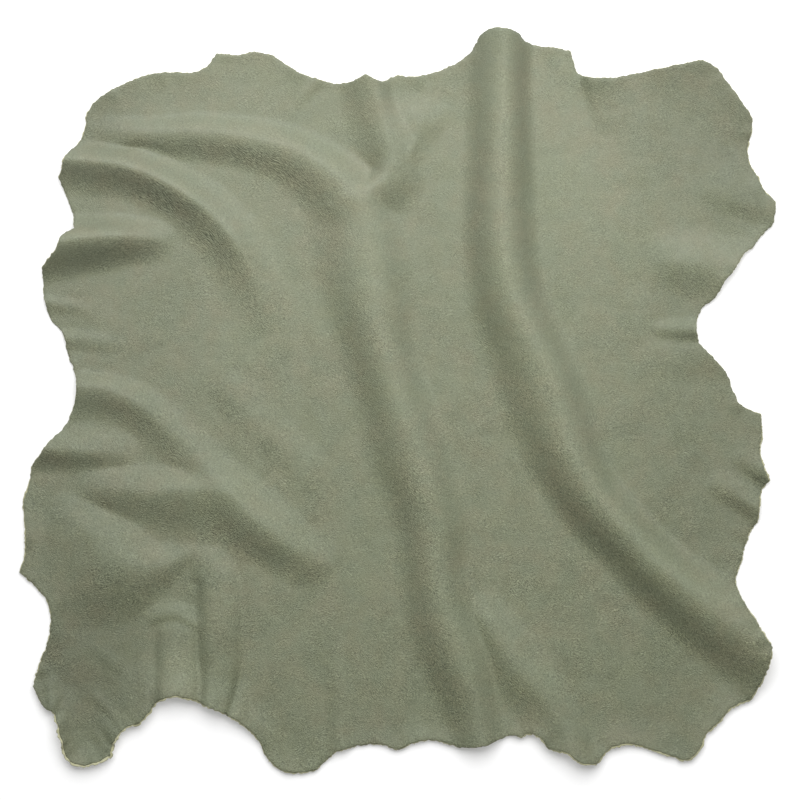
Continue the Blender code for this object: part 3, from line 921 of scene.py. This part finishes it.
def grain_material():
    """Soft nappa: small uneven pebbles drawn out into strokes, with broad swells, a mottled dye, and painted
    light, shade and sheen in its colour.
    """
    n = Nodes("grain")
    lean = n.parts(n.add("ShaderNodeNewGeometry").outputs["Normal"])
    warped = n.warped(WARP_SIZE, WARP)
    fine = fine_grain(n, lean, warped)
    broad = n.noise(BROAD, detail=3.0, roughness=0.55, place=warped)
    relief = n.bump(n.noise(SWELL), SWELL_DEPTH)
    relief = n.bump(broad, BROAD_DEPTH, relief)
    relief = n.bump(fine, FINE_DEPTH, relief)
    n.feed(n.shader.inputs["Normal"], relief)
    n.feed(n.shader.inputs["Base Color"], n.tinted(dye_and_painted_sheen(n, lean), tone_with_painted_light(n, fine)))
    n.feed(n.shader.inputs["Roughness"], n.spread(broad, *SOFTLY, *GRAIN_ROUGHNESS))
    n.shader.inputs["Specular IOR Level"].default_value = GRAIN_SPECULAR
    return n.material


def cut_material():
    """The dyed grain layer where the blade went through it, dark: painted shade along the rolled grain edge.
    """
    n = Nodes("cut_edge")
    n.feed(n.shader.inputs["Base Color"], n.mix(n.noise(CUT_MOTTLE), *CUT_COLOURS))
    n.feed(n.shader.inputs["Normal"], n.bump(n.noise(CUT_GRAIN), CUT_DEPTH))
    n.shader.inputs["Roughness"].default_value = CUT_ROUGHNESS
    return n.material


def flesh_material(name="flesh"):
    """Suede: a pale, yellower nap."""
    n = Nodes(name)
    nap = n.noise(NAP, detail=3.0, roughness=0.7)
    colour = n.mix(n.spread(n.noise(FLESH_MOTTLE), *SOFTLY), *FLESH_COLOURS)
    colour = n.mix(n.spread(nap, *SOFTLY, 0.0, NAP_SHARE), colour, NAP_COLOUR)
    n.feed(n.shader.inputs["Base Color"], colour)
    n.feed(n.shader.inputs["Normal"], n.bump(nap, NAP_DEPTH))
    n.shader.inputs["Roughness"].default_value = FLESH_ROUGHNESS
    n.shader.inputs["Specular IOR Level"].default_value = FLESH_SPECULAR
    n.shader.inputs["Sheen Weight"].default_value = FLESH_SHEEN
    return n.material


def floor_material():
    """Matt white with a faint glow, so that the shadows on it stay pale."""
    n = Nodes("floor")
    n.shader.inputs["Base Color"].default_value = (FLOOR_TONE, FLOOR_TONE, FLOOR_TONE, 1)
    n.shader.inputs["Emission Color"].default_value = WHITE
    n.shader.inputs["Emission Strength"].default_value = FLOOR_GLOW
    n.shader.inputs["Roughness"].default_value = 1.0
    n.shader.inputs["Specular IOR Level"].default_value = 0.0
    return n.material


# ---- the scene ----------------------------------------------------------------------------------


def piece(name, mesh, materials):
    """An object in the scene, of a mesh and its materials."""
    made = bpy.data.objects.new(name, mesh)
    for material in materials:
        mesh.materials.append(material)
    bpy.context.collection.objects.link(made)
    return made


def make_hide():
    """The dressed sheet and the loose fibres on its cut edge."""
    cut = Cut()
    mesh, at, out, up = hide_mesh(cut)
    sheet = piece("hide_sheet", mesh, [grain_material(), cut_material(), flesh_material()])
    fibres = piece("edge_fibres", fibre_mesh(cut, at, out, up), [flesh_material("fibre")])
    for made, slot in ((sheet, "grain"), (fibres, "flesh")):
        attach(made, "root")
    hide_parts("hide")


def make_floor():
    """One wide square, just below the hide."""
    sides = ((-1, -1), (1, -1), (1, 1), (-1, 1))
    corners = [(FLOOR_HALF * x, FLOOR_HALF * y, -FLOOR_BELOW * MM) for x, y in sides]
    mesh = bpy.data.meshes.new("floor")
    mesh.from_pydata(corners, [], [(0, 1, 2, 3)])
    floor = piece("floor", mesh, [floor_material()])


def make_light(name, at, target, size, power):
    """A soft rectangular light that faces its target."""
    light = bpy.data.lights.new(name, "AREA")
    light.shape = "RECTANGLE"
    light.size, light.size_y = size
    light.energy = power
    lamp = bpy.data.objects.new(name, light)
    lamp.location = at
    lamp.rotation_euler = (Vector(target) - Vector(at)).to_track_quat("-Z", "Y").to_euler()
    lamp.visible_camera = False
    bpy.context.collection.objects.link(lamp)


def make_world():
    """An even white fill from all around."""
    world = bpy.data.worlds.new("fill")
    world.use_nodes = True
    background = world.node_tree.nodes["Background"]
    background.inputs["Color"].default_value = WHITE
    background.inputs["Strength"].default_value = FILL
    bpy.context.scene.world = world


def make_camera():
    """Straight above the hide, so that a millimetre of it is a pixel of an 800 pixel picture."""
    lens = bpy.data.cameras.new("camera")
    lens.lens = LENS
    camera = bpy.data.objects.new("camera", lens)
    height = PICTURE * MM * LENS / lens.sensor_width
    right, below = BOARD_MIDDLE
    camera.location = ((PICTURE / 2 - right) * MM, (below - PICTURE / 2) * MM, height)
    bpy.context.collection.objects.link(camera)
    bpy.context.scene.camera = camera


make_hide()
make_floor()
make_light("key", KEY_AT, KEY_TARGET, KEY_SIZE, KEY_POWER)
make_world()
make_camera()
bpy.context.scene.view_settings.view_transform = "Standard"
